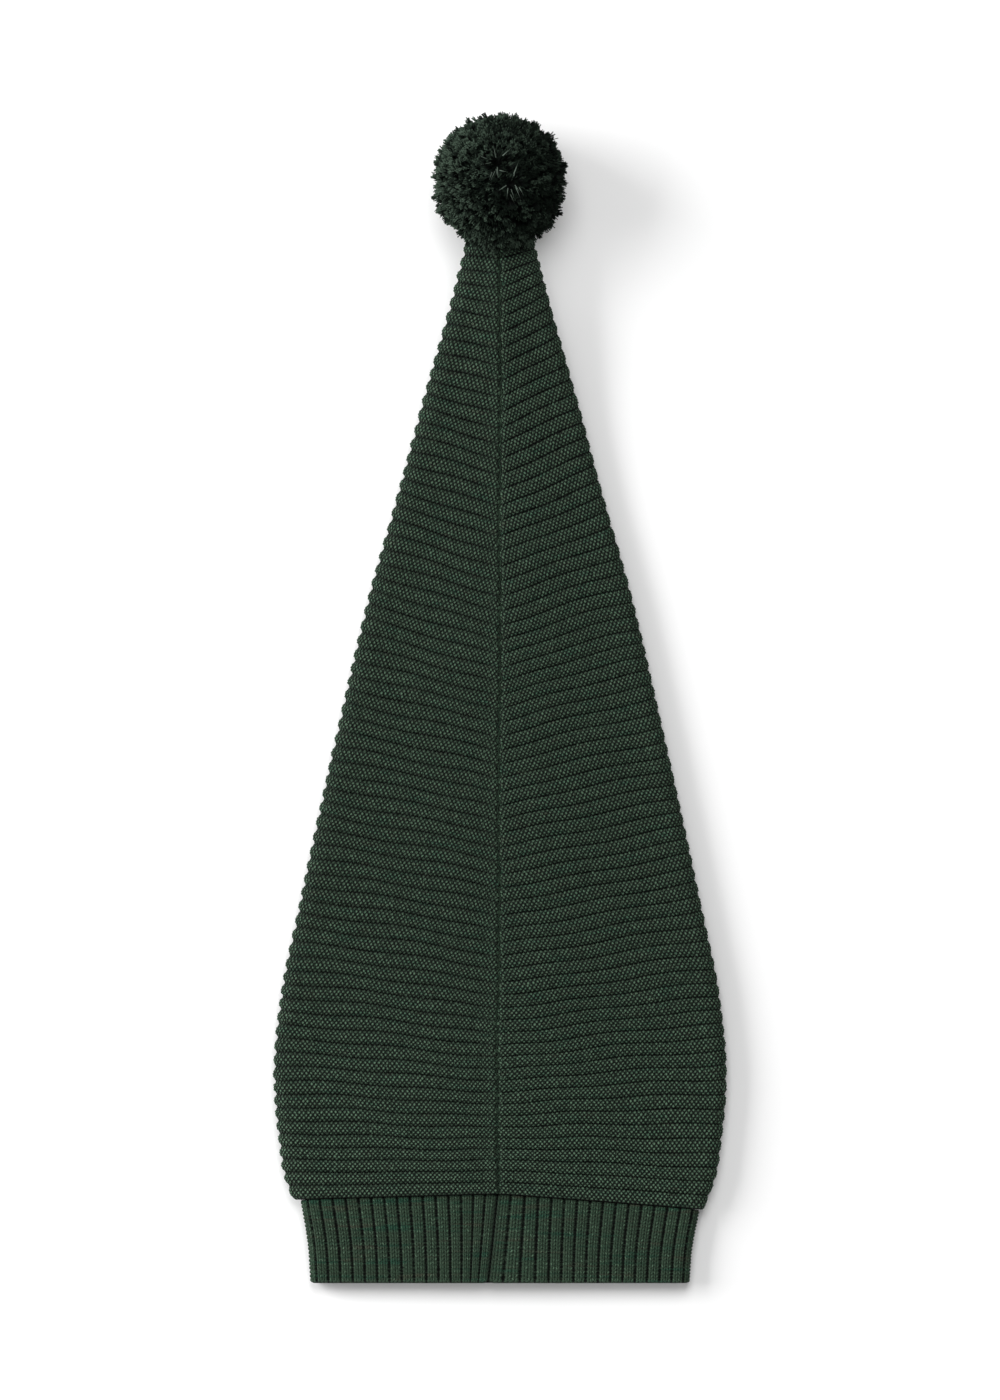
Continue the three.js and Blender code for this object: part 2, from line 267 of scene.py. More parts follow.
def ridge_height(ridge, turn, side):
    """Height above the hem at which a ridge passes a turn."""
    at = ridge / RIDGE_COUNT
    left_fold = CUFF_HEIGHT + at * PEAK_LENGTH
    section = peak_section(left_fold)
    left, right, bend = smooth(RIDGE_DIPS, at)
    seam = left_fold - left * section[0]
    right_fold = seam + right * section[0]
    fold = np.where(side < 0, left_fold, right_fold)
    to_fold = girth_to(section, FOLD_TURN)
    to_under = girth_to(section, UNDER_TURN)
    here = girth_to(section, turn)
    nearness = np.clip(1 - here / to_fold, 0, 1)
    over = fold + (seam - fold) * nearness ** bend
    share = np.clip((here - to_fold) / (to_under - to_fold), 0, 1)
    under = fold + ((left_fold + right_fold) / 2 - fold) * share
    gathered = JOIN_RISE * np.exp(-((ridge / JOIN_REACH) ** 2))
    wave = 1
    for length, turns, start in WANDER_WAVES:
        wave = wave * np.sin(side * here / length + at * turns + start)
    free = (1 - np.exp(-((here / 14) ** 2))) * (1 - np.exp(-((ridge / 3) ** 2)))
    return np.where(turn <= FOLD_TURN, over, under) + gathered + RIDGE_WANDER * wave * free


def bent_grid(name, points, stitches, material):
    """A grid bent to rows of points in millimetres, with its stitches as its UV map. Rows and
    columns whose points meet are merged, which closes the piece."""
    rows, columns = points.shape[:2]
    mesh = bpy.data.meshes.new(name)
    grid = bmesh.new()
    bmesh.ops.create_grid(grid, x_segments=columns - 1, y_segments=rows - 1, size=1)
    grid.to_mesh(mesh)
    grid.free()
    mesh.vertices.foreach_set("co", (points * MM).reshape(-1))
    corners = np.empty(len(mesh.loops), dtype=np.int32)
    mesh.loops.foreach_get("vertex_index", corners)
    layer = mesh.uv_layers.new(name="stitches")
    layer.uv.foreach_set("vector", stitches.reshape(-1, 2)[corners].reshape(-1))
    shell = bmesh.new()
    shell.from_mesh(mesh)
    bmesh.ops.remove_doubles(shell, verts=shell.verts, dist=1e-6)
    bmesh.ops.dissolve_degenerate(shell, edges=shell.edges, dist=1e-7)
    bmesh.ops.recalc_face_normals(shell, faces=shell.faces)
    shell.to_mesh(mesh)
    shell.free()
    mesh.shade_smooth()
    mesh.materials.append(material)
    piece = bpy.data.objects.new(name, mesh)
    bpy.context.scene.collection.objects.link(piece)
    return piece


def dress(piece, node):
    """Lets a piece ride on the hat and stand for a solid, whose own mesh it hides."""
    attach(piece, "root")
    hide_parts(node)


def small_shape(shape):
    """The points and triangles of a small bmesh, which is freed."""
    bmesh.ops.triangulate(shape, faces=shape.faces)
    shape.verts.index_update()
    points = np.array([tuple(vert.co) for vert in shape.verts])
    faces = np.array([[vert.index for vert in face.verts] for face in shape.faces])
    shape.free()
    return points, faces


def bead(rings, upright=True):
    """The points and triangles of a bead of radius 1. Its poles lie along Y if it is upright,
    and along Z if not."""
    shape = bmesh.new()
    bmesh.ops.create_uvsphere(shape, u_segments=6, v_segments=rings, radius=1)
    if upright:
        bmesh.ops.rotate(shape, verts=shape.verts, matrix=Matrix.Rotation(math.pi / 2, 3, "X"))
    return small_shape(shape)


def joined_copies(name, faces, points, stitches, crown, tint, material):
    """One mesh of many copies of a small shape: each row of points is one copy's, in
    millimetres. Stitches gives their places on the first UV map. The second holds each
    corner's crown, 1 on top of its bead, and each copy's tint."""
    count, size = points.shape[:2]
    mesh = bpy.data.meshes.new(name)
    every_face = (faces[None] + size * np.arange(count)[:, None, None]).reshape(-1, 3)
    mesh.from_pydata((points * MM).reshape(-1, 3).tolist(), [], every_face.tolist())
    yarn = np.stack((crown + 0 * tint[:, None], tint[:, None] + 0 * crown), axis=-1)
    for label, values in (("stitches", stitches), ("yarn", yarn)):
        layer = mesh.uv_layers.new(name=label)
        at_corners = values.reshape(-1, 2)[every_face.reshape(-1)]
        layer.uv.foreach_set("vector", at_corners.reshape(-1))
    shell = bmesh.new()
    shell.from_mesh(mesh)
    bmesh.ops.recalc_face_normals(shell, faces=shell.faces)
    shell.to_mesh(mesh)
    shell.free()
    mesh.shade_smooth()
    mesh.materials.append(material)
    piece = bpy.data.objects.new(name, mesh)
    bpy.context.scene.collection.objects.link(piece)
    return piece


def peak_turns():
    """Turn and side of each column round the peak, from the underside's middle over the left
    fold to the seam and back over the right fold."""
    lip = 0.032
    half = np.concatenate(
        (
            np.linspace(UNDER_TURN, 2, 15)[:-1],
            np.linspace(2, 1, 15)[:-1],
            np.linspace(1, 2.6 * lip, 22)[:-1],
            np.linspace(2.6 * lip, 0, 9),
        )
    )
    turns = np.concatenate((half, half[::-1]))
    sides = np.concatenate((-np.ones(len(half)), np.ones(len(half))))
    return turns, sides


# How each ridge swells along its length: phases of three slow waves
RIDGE_SWINGS = np.random.default_rng(SEED).uniform(0, 2 * math.pi, (RIDGE_COUNT + 1, 3))


def seam_wander(height):
    """How far the seam strays to the right of the hat's middle at a height above the hem."""
    above = np.clip(height - CUFF_HEIGHT, 0, PEAK_LENGTH) / PEAK_LENGTH
    wave = 0.35 * np.sin(23 * above + 1) + 0.2 * np.sin(61 * above)
    in_cuff = np.clip(1 - height / CUFF_HEIGHT, 0, 1)
    return SEAM_LEAN * (1 - above) ** 2 + wave * np.minimum(height / CUFF_HEIGHT, 1) + (
        CUFF_SEAM_LEAN * in_cuff
    )


def wale_drift(ridge):
    """How far, in wales, the stitch columns have drifted towards the underside at a ridge."""
    return -WALE_DRIFT * np.log1p(np.exp((ridge - DRIFT_START) / 4)) * 4


WIDEST_HEIGHT = CUFF_HEIGHT + WIDEST_AT * PEAK_LENGTH
WIDEST_GIRTH = float(girth_to(peak_section(np.array(WIDEST_HEIGHT)), UNDER_TURN))


def column_girth(section, height):
    """How far from the seam the stitch columns are counted from. Below the peak's widest
    place that is the same at every height, so they run beside the seam, and above it they
    are counted from the underside's middle."""
    return np.where(height < WIDEST_HEIGHT, WIDEST_GIRTH, girth_to(section, UNDER_TURN))


def peak_surface(ridge, turn, side, rise=0):
    """Points on the peak's rolled face, or a rise above it, and their stitches. A ridge is a
    round roll with a narrow valley, and it fades beside the seam's sunk groove."""
    number = np.clip(np.floor(ridge), 0, RIDGE_COUNT - 1).astype(int)
    phase = ridge - np.floor(ridge)
    folded = np.clip((turn - 0.85) / 0.4, 0, 1)
    reach = FACE_ROLL + (np.where(side < 0, LEFT_ROLL, RIGHT_ROLL) - FACE_ROLL) * folded
    across_roll = np.minimum(np.abs(2 * phase - 1) / reach, 1)
    roll = np.sqrt(1 - across_roll ** (4 - 2 * folded))
    waves = RIDGE_SWINGS[number]
    around = side * (UNDER_TURN - turn)
    sway = sum(
        np.sin(around * pitch + waves[..., wave]) for wave, pitch in enumerate((2.1, 4.7, 9.3))
    )
    depth = (VALLEY_DEPTH + (EDGE_DEPTH - VALLEY_DEPTH) * folded) * (1 + 0.06 * sway)
    height = ridge_height(ridge, turn, side)
    section = peak_section(height)
    from_seam = girth_to(section, turn)
    groove = np.exp(-((from_seam / 0.9) ** 2))
    lips = np.exp(-(((from_seam - SEAM_LIP) / 1.5) ** 2))
    fade = 1 - np.exp(-((from_seam / np.where(side < 0, *SEAM_FADES)) ** 2))
    relief = depth * (1 - roll) * fade + groove * (RIDGE_DEPTH + SEAM_SINK) - LIP_RISE * lips
    points = face_point(section, turn, side, relief - rise, height)
    zigzag = SEAM_ZIGZAG * np.sin(2 * math.pi * ridge) * np.exp(-((from_seam / 3) ** 2))
    points[..., 0] += seam_wander(height) * np.exp(-((from_seam / SEAM_PULL) ** 2)) + zigzag
    across = side * ((column_girth(section, height) - from_seam) / WALE - wale_drift(ridge))
    shown = number + 0.5 + (phase - 0.5) * (0.74 + 0.26 * fade)
    return points, np.stack((across, shown * COURSES_PER_RIDGE), axis=-1)


def make_peak(material):
    """The hollow peak, its outer face rolled into ridges and its inner face plain."""
    turns, sides = peak_turns()
    phases = np.array((0.0, 0.1, 0.15, 0.21, 0.3, 0.42, 0.58, 0.7, 0.79, 0.85, 0.9))
    outside = (np.arange(RIDGE_COUNT)[:, None] + phases).reshape(-1)
    outside = np.append(outside, RIDGE_COUNT)
    inside = np.arange(RIDGE_COUNT, -1, -2.0)
    ridge, turn = np.meshgrid(inside, turns, indexing="ij")
    side = np.broadcast_to(sides, ridge.shape)
    height = ridge_height(ridge, turn, side)
    inner = face_point(peak_section(height), turn, side, PEAK_LAYER, height)
    inner_stitches = np.stack((side * turn * 20, ridge * COURSES_PER_RIDGE), axis=-1)
    ridge, turn = np.meshgrid(outside, turns, indexing="ij")
    outer, outer_stitches = peak_surface(ridge, turn, np.broadcast_to(sides, ridge.shape))
    points = np.concatenate((inner, outer))
    stitches = np.concatenate((inner_stitches, outer_stitches))
    points, stitches = gather_ends(points, stitches)
    dress(bent_grid("knitted_peak", points, stitches, material), "peak")


def gather_ends(points, stitches):
    """Rounds off both ends of the peak's grid to a gathered point at the tip."""
    angles = np.radians((18, 36, 54, 72, 90))
    first, last = points[0], points[-1]
    rows, stitch_rows = [points], [stitches]
    for edge, reach, at_end in ((first, TIP_DEPTH - PEAK_WALL, False), (last, TIP_DEPTH, True)):
        middle = edge.mean(axis=0)
        ring = [
            middle + (edge - middle) * math.cos(a) + np.array((0, reach * math.sin(a), 0))
            for a in angles
        ]
        base = stitches[-1] if at_end else stitches[0]
        turns = [base + np.array((0, 0.8 * (k + 1))) for k in range(len(angles))]
        if at_end:
            rows.append(np.array(ring))
            stitch_rows.append(np.array(turns))
        else:
            rows.insert(0, np.array(ring[::-1]))
            stitch_rows.insert(0, np.array(turns[::-1]))
    return np.concatenate(rows), np.concatenate(stitch_rows)


def cuff_surface(place, level, outer=1.0, rise=0.0):
    """Points on the cuff's ribbed face, and their stitches. Place goes once round from the
    seam, and level from the hem to the join. Outer is 0 for the plain inner face."""
    section = cuff_section(level * CUFF_HEIGHT)
    girth = 2 * girth_to(section, UNDER_TURN)
    distance = place * girth
    side = np.where(distance <= girth / 2, 1.0, -1.0)
    from_seam = np.minimum(distance, girth - distance)
    turn = turn_at(section, from_seam)
    height = level * (ridge_height(0 * level, turn, side) - CLEARANCE)
    rib = place * RIB_COUNT
    phase = rib - np.floor(rib)
    rounded = np.clip(1 - np.abs(2 * phase - 1) ** 4, 0, 1)
    crease = 0.25 * np.exp(-(((phase - 0.5) / 0.06) ** 2))
    groove = np.exp(-((from_seam / 1.3) ** 2))
    relief = RIB_DEPTH * 1.6 * (1 - rounded) + crease + SEAM_SINK * groove
    corner = np.clip(1 - level * CUFF_HEIGHT / HEM_ROUNDING, 0, 1)
    turned = HEM_ROUNDING / 2 * (1 - np.sqrt(1 - corner ** 2))
    inset = np.where(outer > 0, relief * (1 - 0.6 * corner) + turned, CUFF_LAYER)
    points = face_point(section, turn, side, inset - rise, height)
    points[..., 0] += seam_wander(level * CUFF_HEIGHT) * np.exp(-((from_seam / SEAM_PULL) ** 2))
    points[..., 1] += HEM_NOTCH * groove * (1 - level) ** 8
    return points, np.stack((rib, height / CUFF_COURSE), axis=-1)


def make_cuff(material):
    """The ribbed cuff: two knit wales and a purl valley to each rib, the seam in one valley."""
    shares = np.array((0, 0.04, 0.08, 0.13, 0.2, 0.3, 0.4, 0.5, 0.6, 0.7, 0.8, 0.87, 0.92, 0.96))
    around = ((np.arange(RIB_COUNT)[:, None] + shares) / RIB_COUNT).reshape(-1)
    around = np.append(around, 1.0)
    rise = np.concatenate(((0, 0.01, 0.03, 0.06), np.linspace(0.12, 1, 22)))
    levels = np.concatenate((np.linspace(1, 0, 8), rise, [1.0]))
    kind = np.concatenate((np.zeros(8), np.ones(len(rise)), [0.0]))
    level, place = np.meshgrid(levels, around, indexing="ij")
    points, stitches = cuff_surface(place, level, np.broadcast_to(kind[:, None], level.shape))
    dress(bent_grid("ribbed_cuff", points, stitches, material), "cuff")


def make_rib_stitches(material):
    """The slanting legs of the cuff's knit wales, four columns to a rib, and the cast-on row."""
    rng = np.random.default_rng(SEED + 9)
    corners, faces = bead(3)
    columns = np.array(LEG_COLUMNS)
    slants = np.array((-1, 1, -1, 1)) * LEG_SLANT
    courses = np.arange(0.9, CUFF_HEIGHT / CUFF_COURSE - 0.5)
    rib, column, course = np.meshgrid(
        np.arange(RIB_COUNT), np.arange(len(columns)), courses, indexing="ij"
    )
    middle = (rib + columns[column]).reshape(-1, 1)
    slant = slants[column].reshape(-1, 1)
    course = course.reshape(-1, 1) + rng.normal(0, 0.05, (middle.size, 1))
    middle = middle + rng.normal(0, 0.008, middle.shape)
    upward = course + corners[:, 1] * LEG_HALF_LENGTH
    across = middle + corners[:, 0] * LEG_HALF_WIDTH + corners[:, 1] * slant
    rise = corners[:, 2] * LEG_RISE * rng.normal(1, 0.1, middle.shape)
    level = np.clip(upward * CUFF_COURSE / CUFF_HEIGHT, 0, 0.995)
    points, stitches = cuff_surface(across / RIB_COUNT, level, rise=rise)
    points[..., 2] = np.maximum(points[..., 2], 0)
    tint = PALE_LEG * rng.uniform(0, 1, middle.size) ** 2
    piece = joined_copies("rib_stitches", faces, points, stitches, corners[:, 2], tint, material)
    dress(piece, "cuff")


def make_hem_row(material):
    """The cast-on row along the hem, a bead of yarn to each wale."""
    corners, faces = bead(4, upright=False)
    middle = (np.arange(RIB_COUNT * RIB_WALES)[:, None] + 0.5) / RIB_WALES
    across = middle + corners[:, 0] * 0.55 / RIB_WALES + corners[:, 1] * 0.08
    level = (1.0 + corners[:, 1] * 0.8) / CUFF_HEIGHT + 0 * middle
    rise = corners[:, 2] * 0.6 + 0 * middle
    points, stitches = cuff_surface(across / RIB_COUNT, level, rise=rise)
    points[..., 2] = np.maximum(points[..., 2], 0)
    tint = np.zeros(middle.size)
    piece = joined_copies("hem_row", faces, points, stitches, corners[:, 2], tint, material)
    dress(piece, "cuff")


def make_seam_stitches(material):
    """The sewing yarn in the peak's seam and the loops beside the cuff's seam, both set in a
    valley's painted shade so that they stand for the shade in the seam's groove.
    """
    rng = np.random.default_rng(SEED + 13)
    corners, faces = bead(4)
    ridge = np.arange(0.3, RIDGE_COUNT - 0.4, 1 / SEAM_LOOPS)
    ridge = (ridge + rng.normal(0, 0.02, ridge.shape))[:, None]
    upward = ridge + corners[:, 1] * 0.75 / SEAM_LOOPS
    section = peak_section(ridge_height(upward, 0 * upward, 1))
    place = rng.normal(0, 0.15, ridge.shape)
    distance = place + corners[:, 0] * 0.5 * rng.uniform(0.7, 1.3, ridge.shape)
    distance = distance + corners[:, 1] * rng.normal(0, 0.25, ridge.shape)
    rise = 0.9 + corners[:, 2] * 0.5 + 0 * ridge
    turn = np.abs(distance) / (section[0] - section[2])
    sewing, marks = peak_surface(upward, turn, np.where(distance < 0, -1, 1), rise)
    # Course 0 lies in a valley, so this yarn takes the valley's painted shade.
    marks = np.stack((np.abs(marks[..., 0]), 0 * marks[..., 1]), axis=-1)
    points, stitches = [sewing], [marks]
    level = (np.arange(1.2, CUFF_HEIGHT - 1, 2.1) / CUFF_HEIGHT)[:, None]
    for side in (-1, 1):
        upward = level + corners[:, 1] * 1.5 / CUFF_HEIGHT
        place = side * (0.95 + corners[:, 0] * 0.55 - corners[:, 1] * 0.45)
        around = np.mod(place / (2 * CUFF_TOP_WIDTH), 1) + 0 * upward
        rise = corners[:, 2] * 0.6 + 0.25 + 0 * level
        loops, marks = cuff_surface(around, np.clip(upward, 0, 0.995), rise=rise)
        # Course 0 lies in a valley, so these loops take the valley's painted shade.
        marks = np.stack((marks[..., 0], 0 * marks[..., 1]), axis=-1)
        points.append(loops)
        stitches.append(marks)
    points, stitches = np.concatenate(points), np.concatenate(stitches)
    tint = rng.uniform(0, 1, len(points))
    piece = joined_copies("seam_stitches", faces, points, stitches, corners[:, 2], tint, material)
    dress(piece, "back_seam")


def turn_across(ridge, across, side):
    """Turn at a distance along a ridge from the underside's middle."""
    turn = np.full(np.shape(ridge), FOLD_TURN)
    for _ in range(4):
        height = ridge_height(ridge, turn, side)
        section = peak_section(height)
        turn = np.clip(turn_at(section, column_girth(section, height) - across), 0, UNDER_TURN)
    return turn


def make_purl_stitches(name, side, material):
    """The raised purl bumps of one panel and its fold, each a small closed bead of yarn."""
    rng = np.random.default_rng(SEED + 1 + side)
    corners, faces = bead(2, upright=False)
    course, wale = np.meshgrid(
        np.arange(RIDGE_COUNT * COURSES_PER_RIDGE), np.arange(float(MOST_WALES)), indexing="ij"
    )
    wale = wale + 0.5 * (course % 2)
    ridge = (course + 0.5) / COURSES_PER_RIDGE
    place = (wale + wale_drift(ridge)) * WALE
    turn = turn_across(ridge, place, side)
    height = ridge_height(ridge, turn, side)
    seam_distance = column_girth(peak_section(height), height) - place
    seen = (turn < STITCHED_TURN) & (seam_distance > SEAM_ROOM)
    ridge, wale = ridge[seen][:, None], wale[seen][:, None]
    count = len(ridge)
    wale = wale + rng.normal(0, WALE_SPREAD, (count, 1))
    ridge = ridge + rng.normal(0, RIDGE_SPREAD, (count, 1))
    lean = rng.normal(0, LEAN_SPREAD, (count, 1))
    size = rng.normal(1, SIZE_SPREAD, (count, 1))
    beyond = corners[:, 0] * PURL_HALF_WIDTH * size + corners[:, 1] * lean * PURL_HALF_WIDTH
    along = wale + beyond
    upward = ridge + corners[:, 1] * PURL_HALF_HEIGHT / COURSES_PER_RIDGE * size
    upward = np.clip(upward, 0.03, RIDGE_COUNT - 0.001)
    folded = np.clip(turn[seen][:, None] - 0.9, 0, 0.5)
    rise = corners[:, 2] * (PURL_RISE - folded) * rng.normal(1, RISE_SPREAD, (count, 1))
    turn = turn_across(upward, (along + wale_drift(upward)) * WALE, side)
    points, stitches = peak_surface(upward, turn, side, rise)
    points[..., 2] = np.maximum(points[..., 2], 0)
    # Each bead's tint: a random tone, plus painted light that makes the lowest ridges, by the cuff,
    # paler.
    tint = rng.uniform(0, 1, count) + 0.6 * np.exp(-((ridge[:, 0] / 14) ** 2))
    piece = joined_copies(name, faces, points, stitches, corners[:, 2], tint, material)
    dress(piece, "peak")


def make_pompom_core(material):
    """The heart of the pompom, which its yarn hides, painted dark as the shade deep inside it."""
    shape = bmesh.new()
    bmesh.ops.create_icosphere(shape, subdivisions=5, radius=POMPOM_CORE)
    bmesh.ops.translate(shape, verts=shape.verts, vec=POMPOM_MIDDLE)
    for vert in shape.verts:
        vert.co.z = max(vert.co.z, CLEARANCE)
    bmesh.ops.scale(shape, verts=shape.verts, vec=(MM, MM, MM))
    mesh = bpy.data.meshes.new("pompom_core")
    shape.to_mesh(mesh)
    shape.free()
    mesh.shade_smooth()
    mesh.materials.append(material)
    piece = bpy.data.objects.new("pompom_core", mesh)
    bpy.context.scene.collection.objects.link(piece)
    dress(piece, "pompom")


def unit(vectors):
    """Vectors of length 1."""
    return vectors / np.linalg.norm(vectors, axis=-1, keepdims=True)


def whorl_hairs(rng):
    """Roots and directions of the loose hairs that cross the tufts round both whorls."""
    roots, axes = [], []
    for whorl_x, whorl_y in WHORLS:
        whorl_z = math.sqrt(POMPOM_RADIUS ** 2 - whorl_x ** 2 - whorl_y ** 2)
        whorl = np.array((whorl_x, whorl_y, whorl_z)) / POMPOM_RADIUS
        sideways = rng.normal(0, 1, (WHORL_HAIRS, 3))
        sideways = unit(sideways - (sideways @ whorl)[:, None] * whorl)
        depth = rng.uniform(0.5, 3, (WHORL_HAIRS, 1))
        far = rng.uniform(8, 13, (WHORL_HAIRS, 1)) * unit(sideways + 0.2 * whorl)
        roots.append(np.array(POMPOM_MIDDLE) + whorl * (POMPOM_RADIUS - depth) + far)
        axes.append(-unit(far + rng.normal(0, 1.5, far.shape)))
    return np.concatenate(roots), np.concatenate(axes)


def make_pompom_yarn(material):
    """Cut yarn ends round the pompom. Each end splays into fibres that are thickest where they
    are cut, and the ends part round two whorls on top."""
    rng = np.random.default_rng(SEED + 5)
    shape = bmesh.new()
    bmesh.ops.create_cone(shape, cap_ends=True, segments=3, radius1=0, radius2=1, depth=1)
    corners, faces = small_shape(shape)
    rest = np.arange(YARN_ENDS) + 0.5
    level = 1 - 2 * rest / YARN_ENDS
    swing = rest * math.pi * (3 - math.sqrt(5))
    reach = np.sqrt(1 - level ** 2)
    outward = np.stack((reach * np.cos(swing), reach * np.sin(swing), level), axis=-1)
    collar = rng.uniform(-1.3, 1.3, COLLAR_ENDS)
    spread = rng.uniform(0.25, 0.6, COLLAR_ENDS)
    collar = (spread * np.sin(collar), 0 * collar - 1, 0.1 + spread * np.cos(collar))
    collar = np.stack(collar, axis=-1)
    outward = np.concatenate((outward, collar))
    count = len(outward)
    outward = unit(outward + rng.normal(0, 0.025, outward.shape))
    lean = np.zeros_like(outward)
    dimple = np.zeros(count)
    for whorl_x, whorl_y in WHORLS:
        whorl_z = math.sqrt(POMPOM_RADIUS ** 2 - whorl_x ** 2 - whorl_y ** 2)
        whorl = np.array((whorl_x, whorl_y, whorl_z)) / POMPOM_RADIUS
        away = outward - whorl
        gap = np.linalg.norm(away, axis=-1, keepdims=True) * POMPOM_RADIUS
        pull = np.exp(-((gap / WHORL_REACH) ** 2))
        lean += WHORL_LEAN * pull * unit(away)
        dimple += WHORL_DEPTH * np.exp(-((gap[:, 0] / DIMPLE_REACH) ** 2))
    tuft = sum(
        np.sin(outward @ rng.normal(0, 22, 3) + rng.uniform(0, 6)) for _ in range(6)
    )
    proud = 1.2 * (rng.uniform(0, 1, count) < 0.3)
    fuller = 1.5 * np.exp(-(((outward[:, 1] + 0.62) / 0.25) ** 2))
    over_tip = np.exp(-(((outward[:, 1] + 1) / 0.15) ** 2)) * (outward[:, 2] > 0)
    fuller += 4 * over_tip - 1.5 * np.clip(outward[:, 1] * 4 - 3, 0, 1)
    stray = np.clip(rng.normal(0, 1.5, count), -4, 2)
    radius = POMPOM_RADIUS - YARN_INSET + 0.4 * tuft + stray
    radius = radius - dimple + proud + fuller
    axis = unit(outward + lean + rng.normal(0, 0.2, outward.shape))
    tips = np.array(POMPOM_MIDDLE) + outward * radius[:, None]
    tips, axis = np.repeat(tips, FIBRES, axis=0), np.repeat(axis, FIBRES, axis=0)
    splay = np.repeat(rng.uniform(0.07, 0.17, count), FIBRES)[:, None]
    fibre_axis = unit(axis + splay * rng.normal(0, 1, axis.shape))
    length = YARN_LENGTH * rng.uniform(0.8, 1.1, len(axis))[:, None]
    roots = tips - axis * YARN_LENGTH + rng.normal(0, 0.35, axis.shape)
    hair_roots, hair_axis = whorl_hairs(rng)
    roots, fibre_axis = np.concatenate((roots, hair_roots)), np.concatenate((fibre_axis, hair_axis))
    length = np.concatenate((length, rng.uniform(5, 8, (len(hair_axis), 1))))
    first = unit(np.cross(fibre_axis, rng.normal(0, 1, fibre_axis.shape)))
    second = np.cross(fibre_axis, first)
    thick = FIBRE_RADIUS * rng.uniform(0.7, 1.3, len(fibre_axis))[:, None, None]
    along = corners[None, :, 2:3] + 0.5
    points = roots[:, None] + fibre_axis[:, None] * length[:, None] * along
    points = points + thick * (first[:, None] * corners[None, :, 0:1])
    points = points + thick * (second[:, None] * corners[None, :, 1:2])
    ends = points.mean(axis=1) + fibre_axis * length / 2
    tip_room = (ends[:, 0] / 16) ** 2 + ((ends[:, 2] - TIP_MIDDLE_Z) / 10) ** 2 < 1
    kept = ~(tip_room & (ends[:, 1] < PEAK_END_Y)) & (ends[:, 2] > -1.5)
    points = points[kept]
    points[..., 2] = np.maximum(points[..., 2], CLEARANCE)
    # Painted light: strands on the left and low round the sides are paler, and a little paler away
    # from the hat.
    painted_side_light = 0.12 * (1 - outward[:, 2]) - 0.22 * outward[:, 0] + 0.05 * outward[:, 1] - 0.1
    strand = np.repeat(rng.uniform(0, 0.75, count) + painted_side_light + 0.25 * over_tip, FIBRES)
    tint = np.clip(strand + rng.uniform(0, 0.3, len(strand)), 0, 1)
    tint = np.concatenate((tint, np.full(len(hair_axis), 1.4)))[kept]
    along = along[0, :, 0]
    stitches = np.stack((along + 0 * tint[:, None], 30 * tint[:, None] + 0 * along), axis=-1)
    piece = joined_copies("pompom_yarn", faces, points, stitches, along, tint, material)
    dress(piece, "pompom")


def calc(tree, operation, *values, clamp=False):
    """One Math node; its values are numbers or sockets, and its result is a socket."""
    node = tree.nodes.new("ShaderNodeMath")
    node.operation = operation
    node.use_clamp = clamp
    for socket, value in zip(node.inputs, values):
        if isinstance(value, bpy.types.NodeSocket):
            tree.links.new(value, socket)
        else:
            socket.default_value = value
    return node.outputs[0]


def blend_colors(tree, share, near, far):
    """One colour mix; each colour is a tuple or a socket."""
    node = tree.nodes.new("ShaderNodeMix")
    node.data_type = "RGBA"
    for name, value in (("Factor_Float", share), ("A_Color", near), ("B_Color", far)):
        socket = next(s for s in node.inputs if s.identifier == name)
        if isinstance(value, bpy.types.NodeSocket):
            tree.links.new(value, socket)
        elif name == "Factor_Float":
            socket.default_value = value
        else:
            socket.default_value = (*value, 1)
    return next(s for s in node.outputs if s.identifier == "Result_Color")


def soft_step(tree, value, low, high):
    """0 below low, 1 above high, and a smooth rise between."""
    node = tree.nodes.new("ShaderNodeMapRange")
    node.interpolation_type = "SMOOTHSTEP"
    tree.links.new(value, node.inputs["Value"])
    node.inputs["From Min"].default_value = low
    node.inputs["From Max"].default_value = high
    return node.outputs["Result"]


def stretched(tree, vector, scale):
    """The vector with each axis scaled."""
    node = tree.nodes.new("ShaderNodeVectorMath")
    node.operation = "MULTIPLY"
    tree.links.new(vector, node.inputs[0])
    node.inputs[1].default_value = scale
    return node.outputs["Vector"]


def noise(tree, vector, scale, detail=2.0, roughness=0.5):
    """A noise between about 0.3 and 0.7."""
    node = tree.nodes.new("ShaderNodeTexNoise")
    node.inputs["Scale"].default_value = scale
    node.inputs["Detail"].default_value = detail
    node.inputs["Roughness"].default_value = roughness
    tree.links.new(vector, node.inputs["Vector"])
    return node.outputs["Fac"]


def chance(tree, column, row):
    """A random value from 0 to 1 for each column and row."""
    place = tree.nodes.new("ShaderNodeCombineXYZ")
    tree.links.new(column, place.inputs["X"])
    tree.links.new(row, place.inputs["Y"])
    node = tree.nodes.new("ShaderNodeTexWhiteNoise")
    node.noise_dimensions = "2D"
    tree.links.new(place.outputs[0], node.inputs["Vector"])
    return node.outputs["Value"]


def raise_surface(tree, shader, height, depth):
    """Gives a shader the relief of a height, as deep as so many millimetres."""
    bump = tree.nodes.new("ShaderNodeBump")
    bump.inputs["Distance"].default_value = depth * MM
    tree.links.new(height, bump.inputs["Height"])
    tree.links.new(bump.outputs["Normal"], shader.inputs["Normal"])


def new_group(name, inputs, outputs):
    """An empty node group with its sockets, and its input and output nodes."""
    tree = bpy.data.node_groups.new(name, "ShaderNodeTree")
    for label, kind in inputs:
        tree.interface.new_socket(name=label, in_out="INPUT", socket_type=kind)
    for label, kind in outputs:
        tree.interface.new_socket(name=label, in_out="OUTPUT", socket_type=kind)
    return tree, tree.nodes.new("NodeGroupInput"), tree.nodes.new("NodeGroupOutput")


VECTOR, VALUE, COLOR = "NodeSocketVector", "NodeSocketFloat", "NodeSocketColor"


